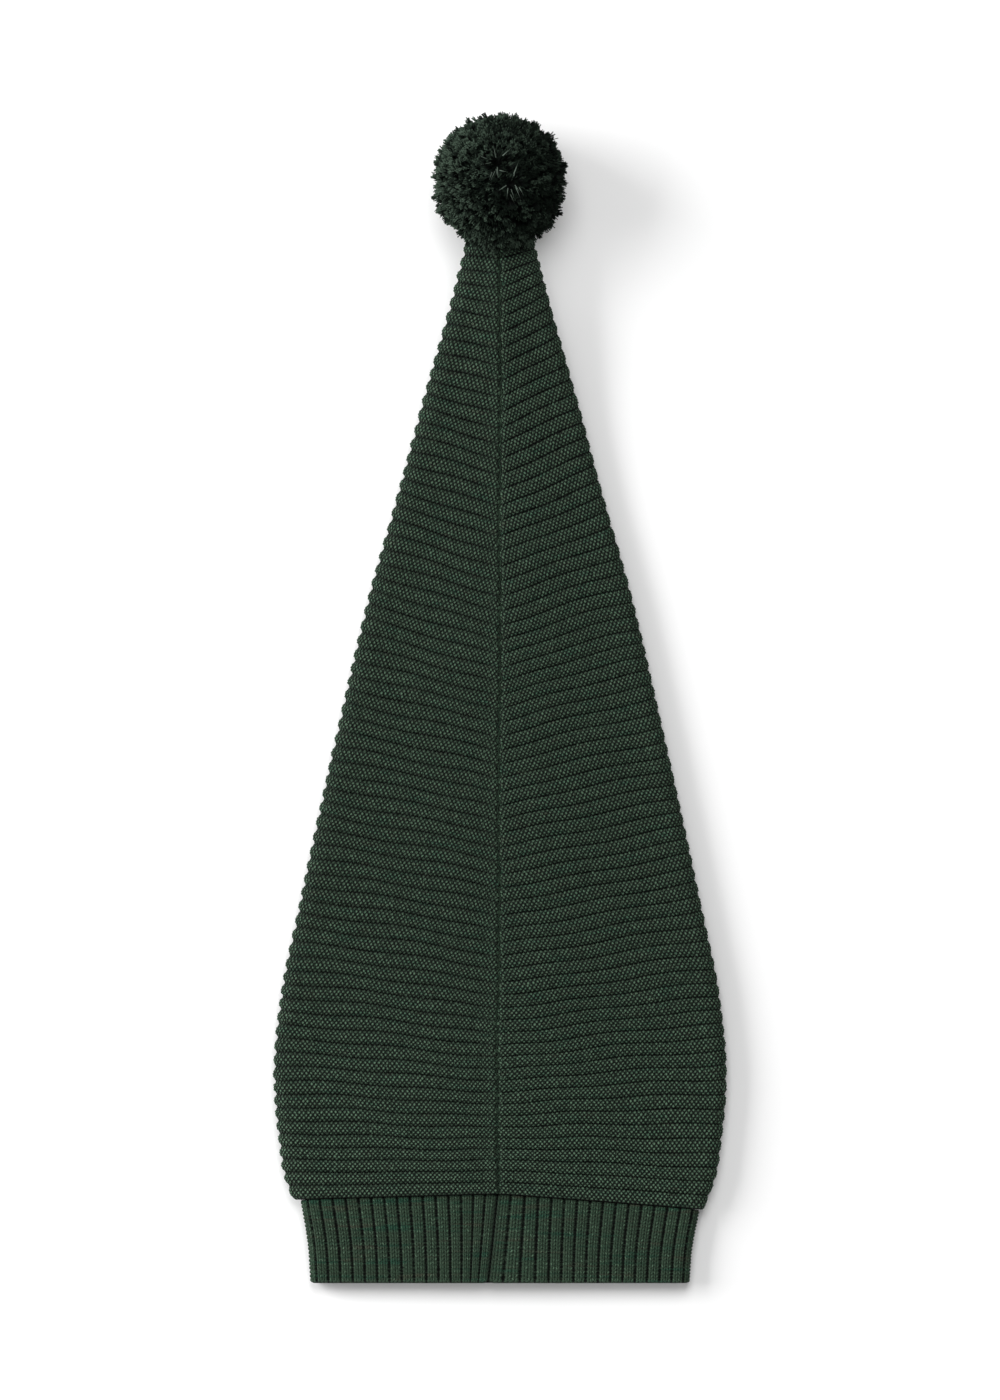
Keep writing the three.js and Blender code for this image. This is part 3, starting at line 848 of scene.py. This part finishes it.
def make_purl_group():
    """Staggered purl bumps, one to a wale in each course. Height is 1 on a bump, the second output
    is
    1 in the holes between, which the yarn's colour fills with painted shade, and Tint differs from
    stitch to stitch."""
    tree, given, result = new_group(
        "purl_stitches",
        [("Stitches", VECTOR)],
        [("Height", VALUE), ("Gap", VALUE), ("Tint", VALUE)],
    )
    split = tree.nodes.new("ShaderNodeSeparateXYZ")
    tree.links.new(given.outputs["Stitches"], split.inputs[0])
    wale, course = calc(tree, "ABSOLUTE", split.outputs["X"]), split.outputs["Y"]
    row = calc(tree, "FLOOR", course)
    along = calc(tree, "ADD", wale, calc(tree, "MULTIPLY", calc(tree, "ADD", row, 1), 0.5))
    cell = calc(tree, "FLOOR", along)
    x = calc(tree, "SUBTRACT", calc(tree, "SUBTRACT", along, cell), 0.5)
    y = calc(tree, "SUBTRACT", calc(tree, "SUBTRACT", course, row), 0.5)
    arch = calc(tree, "SUBTRACT", calc(tree, "MULTIPLY", calc(tree, "MULTIPLY", x, x), 1.1), 0.1)
    turned = calc(tree, "SUBTRACT", 1, calc(tree, "MULTIPLY", calc(tree, "MODULO", row, 2), 2))
    lifted = calc(tree, "ADD", y, calc(tree, "MULTIPLY", arch, turned))
    across = calc(tree, "POWER", calc(tree, "ABSOLUTE", calc(tree, "DIVIDE", x, 0.38)), 2)
    upward = calc(tree, "POWER", calc(tree, "ABSOLUTE", calc(tree, "DIVIDE", lifted, 0.66)), 2)
    reach = calc(tree, "ADD", across, upward)
    dome = calc(tree, "SQRT", calc(tree, "MAXIMUM", calc(tree, "SUBTRACT", 1, reach), 0))
    tree.links.new(dome, result.inputs["Height"])
    tree.links.new(soft_step(tree, reach, 0.6, 1.25), result.inputs["Gap"])
    tree.links.new(chance(tree, cell, row), result.inputs["Tint"])
    return tree


def make_rib_group():
    """Two knit wales to a rib, each a column of slanting legs. The stitches' X counts ribs."""
    tree, given, result = new_group(
        "rib_stitches",
        [("Stitches", VECTOR)],
        [("Height", VALUE), ("Gap", VALUE), ("Tint", VALUE)],
    )
    split = tree.nodes.new("ShaderNodeSeparateXYZ")
    tree.links.new(given.outputs["Stitches"], split.inputs[0])
    rib, course = split.outputs["X"], split.outputs["Y"]
    phase = calc(tree, "FRACT", rib)
    wales = calc(tree, "MULTIPLY", calc(tree, "SUBTRACT", phase, 0.1), 2 / 0.8)
    x = calc(tree, "SUBTRACT", calc(tree, "FRACT", wales), 0.5)
    side = calc(tree, "ABSOLUTE", x)
    slant = calc(tree, "SUBTRACT", course, calc(tree, "MULTIPLY", side, 1.3))
    row = calc(tree, "FLOOR", slant)
    y = calc(tree, "SUBTRACT", calc(tree, "SUBTRACT", slant, row), 0.5)
    leg = calc(tree, "DIVIDE", calc(tree, "SUBTRACT", side, 0.25), 0.25)
    across = calc(tree, "POWER", calc(tree, "ABSOLUTE", leg), 2)
    upward = calc(tree, "MULTIPLY", calc(tree, "POWER", calc(tree, "MULTIPLY", y, 2), 2), 0.7)
    reach = calc(tree, "ADD", across, upward)
    dome = calc(tree, "SQRT", calc(tree, "MAXIMUM", calc(tree, "SUBTRACT", 1.05, reach), 0))
    tree.links.new(dome, result.inputs["Height"])
    # 1 in the holes between the legs, which the yarn's colour fills with painted shade
    tree.links.new(soft_step(tree, reach, 0.55, 1.5), result.inputs["Gap"])
    column = calc(tree, "FLOOR", calc(tree, "MULTIPLY", rib, 5))
    tree.links.new(chance(tree, column, row), result.inputs["Tint"])
    return tree


# Yarn colours, linear: the painted shade between stitches, in the valleys and low on the beads, the
# main heather, its pale fibres, its greener and browner stretches, and the pompom's painted shade
# deep inside and at its strands' roots, its strands and pale hairs
YARN_SHADE = (0.001, 0.003, 0.0015)
YARN_MAIN = (0.023, 0.043, 0.026)
YARN_PALE = (0.090, 0.156, 0.100)
YARN_GREEN = (0.009, 0.042, 0.025)
YARN_BROWN = (0.036, 0.042, 0.027)
STRAND_SHADE = (0.001, 0.002, 0.0015)
STRAND_MAIN = (0.004, 0.008, 0.005)
STRAND_PALE = (0.047, 0.071, 0.051)
HAIR_PALE = (0.085, 0.11, 0.09)

# Where in a ridge, from its middle to its edge, the painted valley shade sets in, as a narrow line
# and as a broad shade, and how much its edge scallops and wanders
VALLEY_SHADE_EDGE = (0.385, 0.475)
SOFT_VALLEY_SHADE_EDGE = (0.2, 0.42)
VALLEY_SCALLOP = 0.03
VALLEY_UNEVEN = 0.3

# How dark a valley's painted shade is as a narrow line and as a broad shade, what the left panel,
# where the light falls along the ridges, takes from the one and adds to the other, and what the
# last courses before the tip add to the line
NARROW_SHADE = 0.7
NARROW_SHADE_LEFT = 0.1
BROAD_SHADE = 0.1
BROAD_SHADE_LEFT = 0.45
TIP_COURSES = (200, 290)
TIP_SHADE = 0.3

# Where across a rib the painted valley shade sets in, and how much its edge wanders
RIB_SHADE_EDGE = (0.375, 0.455)
RIB_UNEVEN = 0.4

# Where on its bead, with 0 at its middle and 1 on top, a stitch's yarn goes from painted shade to
# its own colour
CROWN_FULL_SHADE = 0.12
CROWN_UNSHADED = 0.62

# How much of a bead's tint reaches its colour, and its fibres' depth in millimetres
TINT_SHARE = 0.4
FIBRE_DEPTH = 0.12

# How fine the yarn's grain is, along the X and Y of the stitches
GRAIN_SCALE = (5.0, 1.4, 1.0)


def make_heather_group():
    """The yarn's mottled colour: greener and browner stretches along the courses, pale fibres, and
    painted shade in the holes between stitches, in the valleys and low on the beads."""
    tree, given, result = new_group(
        "heathered_yarn",
        [("Stitches", VECTOR), ("Gap", VALUE), ("Tint", VALUE)],
        [("Color", COLOR), ("Fibre", VALUE)],
    )
    stitches = given.outputs["Stitches"]
    streaks = noise(tree, stretched(tree, stitches, (0.13, 0.42, 1)), 1.0, 3.0, 0.6)
    other = noise(tree, stretched(tree, stitches, (0.17, 0.5, 1)), 1.3, 2.0, 0.6)
    fibre = noise(tree, stretched(tree, stitches, (3.0, 4.0, 1)), 2.4, 3.0, 0.7)
    color = blend_colors(tree, soft_step(tree, streaks, 0.50, 0.68), YARN_MAIN, YARN_GREEN)
    color = blend_colors(tree, soft_step(tree, other, 0.54, 0.72), color, YARN_BROWN)
    pale = calc(tree, "MULTIPLY", soft_step(tree, fibre, 0.45, 0.75), 0.4)
    lit = calc(tree, "POWER", given.outputs["Tint"], 2)
    pale = calc(tree, "ADD", pale, calc(tree, "MULTIPLY", lit, 0.6))
    color = blend_colors(tree, pale, color, YARN_PALE)
    # Painted shade where the mask says: in the holes, in the valleys and low on the beads.
    color = blend_colors(tree, given.outputs["Gap"], color, YARN_SHADE)
    tree.links.new(color, result.inputs["Color"])
    tree.links.new(fibre, result.inputs["Fibre"])
    return tree


def new_material(name, roughness=0.95, sheen=0.03):
    """A yarn material with its constant values on the shader, and its tree and shader."""
    material = bpy.data.materials.new(name)
    material.use_nodes = True
    shader = material.node_tree.nodes["Principled BSDF"]
    shader.inputs["Roughness"].default_value = roughness
    shader.inputs["Sheen Weight"].default_value = sheen
    shader.inputs["Sheen Roughness"].default_value = 0.6
    shader.inputs["Specular IOR Level"].default_value = 0.1
    return material, material.node_tree, shader


def valley_shade(tree, stitches):
    """How much painted shade falls in the valleys between the peak's ridges: up to 1 in the valleys
    and 0 on the ridges.
    """
    split = tree.nodes.new("ShaderNodeSeparateXYZ")
    tree.links.new(stitches, split.inputs[0])
    phase = calc(tree, "FRACT", calc(tree, "DIVIDE", split.outputs["Y"], COURSES_PER_RIDGE))
    from_middle = calc(tree, "ABSOLUTE", calc(tree, "SUBTRACT", phase, 0.5))
    turns = calc(tree, "SINE", calc(tree, "MULTIPLY", split.outputs["X"], 2 * math.pi))
    uneven = noise(tree, stretched(tree, stitches, (0.9, 0.5, 1)), 1.0, 1.0, 0.5)
    uneven = calc(tree, "MULTIPLY", calc(tree, "SUBTRACT", uneven, 0.5), VALLEY_UNEVEN)
    edge = calc(tree, "ADD", from_middle, calc(tree, "MULTIPLY", turns, VALLEY_SCALLOP))
    edge = calc(tree, "ADD", edge, uneven)
    # The left panel's painted valley shade is softer and broader, as the light falls along its
    # ridges.
    on_left = calc(tree, "LESS_THAN", split.outputs["X"], 0)
    near_tip = soft_step(tree, split.outputs["Y"], *TIP_COURSES)
    narrow = calc(tree, "SUBTRACT", NARROW_SHADE, calc(tree, "MULTIPLY", on_left, NARROW_SHADE_LEFT))
    narrow = calc(tree, "ADD", narrow, calc(tree, "MULTIPLY", near_tip, TIP_SHADE))
    broad = calc(tree, "ADD", BROAD_SHADE, calc(tree, "MULTIPLY", on_left, BROAD_SHADE_LEFT))
    narrow = calc(tree, "MULTIPLY", soft_step(tree, edge, *VALLEY_SHADE_EDGE), narrow)
    broad = calc(tree, "MULTIPLY", soft_step(tree, edge, *SOFT_VALLEY_SHADE_EDGE), broad)
    return calc(tree, "MAXIMUM", narrow, broad)


def rib_valley_shade(tree, stitches):
    """How much painted shade falls in the purl valleys between the cuff's ribs: 1 in the valleys
    and 0 on the ribs.
    """
    split = tree.nodes.new("ShaderNodeSeparateXYZ")
    tree.links.new(stitches, split.inputs[0])
    phase = calc(tree, "FRACT", split.outputs["X"])
    from_middle = calc(tree, "ABSOLUTE", calc(tree, "SUBTRACT", phase, 0.5))
    uneven = noise(tree, stretched(tree, stitches, (1.5, 2.2, 1)), 1.0, 1.0, 0.5)
    uneven = calc(tree, "MULTIPLY", calc(tree, "SUBTRACT", uneven, 0.5), RIB_UNEVEN)
    return soft_step(tree, calc(tree, "ADD", from_middle, uneven), *RIB_SHADE_EDGE)


def knit_material(name, stitch_group, heather_group, stitch_depth, valley, tint_share):
    """Knitting whose stitches follow the piece's own UV map."""
    material, tree, shader = new_material(name)
    stitches = uv_layer(tree, "stitches")
    knit = tree.nodes.new("ShaderNodeGroup")
    knit.node_tree = stitch_group
    yarn = tree.nodes.new("ShaderNodeGroup")
    yarn.node_tree = heather_group
    tree.links.new(stitches, knit.inputs["Stitches"])
    tree.links.new(stitches, yarn.inputs["Stitches"])
    # Painted shade in the holes between stitches and in the valleys.
    gap = calc(tree, "MAXIMUM", knit.outputs["Gap"], valley(tree, stitches))
    tree.links.new(gap, yarn.inputs["Gap"])
    tint = calc(tree, "MULTIPLY", knit.outputs["Tint"], tint_share)
    tree.links.new(tint, yarn.inputs["Tint"])
    tree.links.new(yarn.outputs["Color"], shader.inputs["Base Color"])
    fibre = calc(tree, "MULTIPLY", yarn.outputs["Fibre"], 0.5)
    raise_surface(tree, shader, calc(tree, "ADD", knit.outputs["Height"], fibre), stitch_depth)
    return material


def uv_layer(tree, name):
    """The values of one of the piece's UV maps."""
    layer = tree.nodes.new("ShaderNodeUVMap")
    layer.uv_map = name
    return layer.outputs["UV"]


def crown_and_tint(tree):
    """A joined copy's height on its own bead, and its tint."""
    split = tree.nodes.new("ShaderNodeSeparateXYZ")
    tree.links.new(uv_layer(tree, "yarn"), split.inputs[0])
    return split.outputs["X"], split.outputs["Y"]


def bead_material(name, heather_group, valley, crown_highlight, grain_share):
    """Raised yarn that takes its colour from its place in the knitting, with painted shade low down
    between the stitches and in the valleys, a painted highlight towards each bead's top, and as
    grainy as the grain's share."""
    material, tree, shader = new_material(name)
    crown, tint = crown_and_tint(tree)
    yarn = tree.nodes.new("ShaderNodeGroup")
    yarn.node_tree = heather_group
    stitches = uv_layer(tree, "stitches")
    tree.links.new(stitches, yarn.inputs["Stitches"])
    # Painted highlight: the higher on its bead, the paler the yarn, added to its random tint.
    painted_highlight = calc(tree, "MULTIPLY", crown, crown_highlight)
    lit = calc(tree, "ADD", calc(tree, "MULTIPLY", tint, TINT_SHARE), painted_highlight)
    grain = noise(tree, stretched(tree, stitches, GRAIN_SCALE), 1.0, 2.0, 0.6)
    grain = calc(tree, "MULTIPLY", calc(tree, "SUBTRACT", grain, 0.5), grain_share)
    lit = calc(tree, "MAXIMUM", calc(tree, "ADD", lit, grain), 0)
    tree.links.new(lit, yarn.inputs["Tint"])
    # Painted shade low on each bead and in the valleys.
    gap = soft_step(tree, crown, CROWN_UNSHADED, CROWN_FULL_SHADE)
    gap = calc(tree, "MAXIMUM", gap, valley(tree, stitches))
    tree.links.new(gap, yarn.inputs["Gap"])
    tree.links.new(yarn.outputs["Color"], shader.inputs["Base Color"])
    raise_surface(tree, shader, yarn.outputs["Fibre"], FIBRE_DEPTH)
    return material


def strand_material(name):
    """Cut yarn: each fibre has its own tint, and painted shade darkens it towards its root, deep in
    the pompom.
    """
    material, tree, shader = new_material(name, sheen=0.0)
    along, tint = crown_and_tint(tree)
    color = blend_colors(tree, soft_step(tree, tint, 0.3, 1.0), STRAND_MAIN, STRAND_PALE)
    color = blend_colors(tree, soft_step(tree, along, 1.0, 0.7), color, STRAND_SHADE)
    color = blend_colors(tree, soft_step(tree, tint, 1.1, 1.3), color, HAIR_PALE)
    tree.links.new(color, shader.inputs["Base Color"])
    return material


def plain_yarn_material(name, color):
    """Yarn that lies deep, painted dark as its shade, with a mottled tone."""
    material, tree, shader = new_material(name, sheen=0.0)
    place = tree.nodes.new("ShaderNodeTexCoord")
    mottle = noise(tree, place.outputs["Object"], 900, 2.0, 0.6)
    pale = tuple(2.0 * part for part in color)
    mixed = blend_colors(tree, soft_step(tree, mottle, 0.4, 0.7), color, pale)
    tree.links.new(mixed, shader.inputs["Base Color"])
    return material


def make_camera():
    """A camera straight above the hat, which shows the photograph's frame."""
    scale = 0.5277
    image_height = 1400
    hem_row = 1283
    lens = 600
    sensor = 36
    outline_z = 8
    distance = image_height * scale * lens / sensor
    data = bpy.data.cameras.new("camera")
    data.lens = lens
    data.sensor_width = sensor
    camera = bpy.data.objects.new("camera", data)
    middle_y = HEM_Y + (hem_row - image_height / 2) * scale
    camera.location = (0, middle_y * MM, (distance + outline_z) * MM)
    bpy.context.scene.collection.objects.link(camera)
    bpy.context.scene.camera = camera
    data.clip_end = 100


def add_area_light(name, place, size, power):
    """A square softbox that faces the middle of the hat."""
    data = bpy.data.lights.new(name, "AREA")
    data.shape = "SQUARE"
    data.size = size
    data.energy = power
    light = bpy.data.objects.new(name, data)
    light.location = place
    light.rotation_euler = Vector(place).to_track_quat("Z", "Y").to_euler()
    bpy.context.scene.collection.objects.link(light)


def make_studio():
    """Pale floor, soft light from the left, from above and past the hem, and a bright
    surround."""
    mesh = bpy.data.meshes.new("floor")
    sheet = bmesh.new()
    bmesh.ops.create_grid(sheet, x_segments=1, y_segments=1, size=4)
    sheet.to_mesh(mesh)
    sheet.free()
    floor = bpy.data.objects.new("floor", mesh)
    material = bpy.data.materials.new("floor_paper")
    material.use_nodes = True
    shader = material.node_tree.nodes["Principled BSDF"]
    shader.inputs["Base Color"].default_value = (0.87, 0.87, 0.87, 1)
    shader.inputs["Roughness"].default_value = 0.8
    shader.inputs["Specular IOR Level"].default_value = 0.1
    mesh.materials.append(material)
    bpy.context.scene.collection.objects.link(floor)
    add_area_light("wall_light", place=(-2.63, 0.7, 1.27), size=2.2, power=140)
    add_area_light("high_light", place=(0.1, 1.35, 2.65), size=1.8, power=52)
    add_area_light("hem_light", place=(0.2, -2.3, 1.6), size=2.0, power=16)
    world = bpy.data.worlds.new("surround")
    world.use_nodes = True
    world.node_tree.nodes["Background"].inputs["Color"].default_value = (1, 1, 1, 1)
    world.node_tree.nodes["Background"].inputs["Strength"].default_value = 0.25
    bpy.context.scene.world = world
    bpy.context.scene.view_settings.view_transform = "Standard"
    bpy.context.scene.view_settings.look = "None"


make_camera()
make_studio()
purl_group = make_purl_group()
rib_group = make_rib_group()
heather_group = make_heather_group()
make_peak(knit_material("purl_ridges", purl_group, heather_group, 0.55, valley_shade, 1.0))
make_cuff(knit_material("ribbed_knit", rib_group, heather_group, 0.4, rib_valley_shade, 0.0))
purl_yarn = bead_material("purl_yarn", heather_group, valley_shade, 0.85, 0.0)
make_purl_stitches("purl_stitches_left", -1, purl_yarn)
make_purl_stitches("purl_stitches_right", 1, purl_yarn)
make_rib_stitches(bead_material("rib_yarn", heather_group, rib_valley_shade, 0.05, 2.2))
make_hem_row(bpy.data.materials["rib_yarn"])
make_seam_stitches(purl_yarn)
# The pompom's heart and its tie lie deep inside and take painted shade.
pompom_shade = plain_yarn_material("pompom_shade", STRAND_SHADE)
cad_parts["pompom_tie"].data.materials.clear()
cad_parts["pompom_tie"].data.materials.append(pompom_shade)
make_pompom_core(pompom_shade)
make_pompom_yarn(strand_material("cut_yarn"))
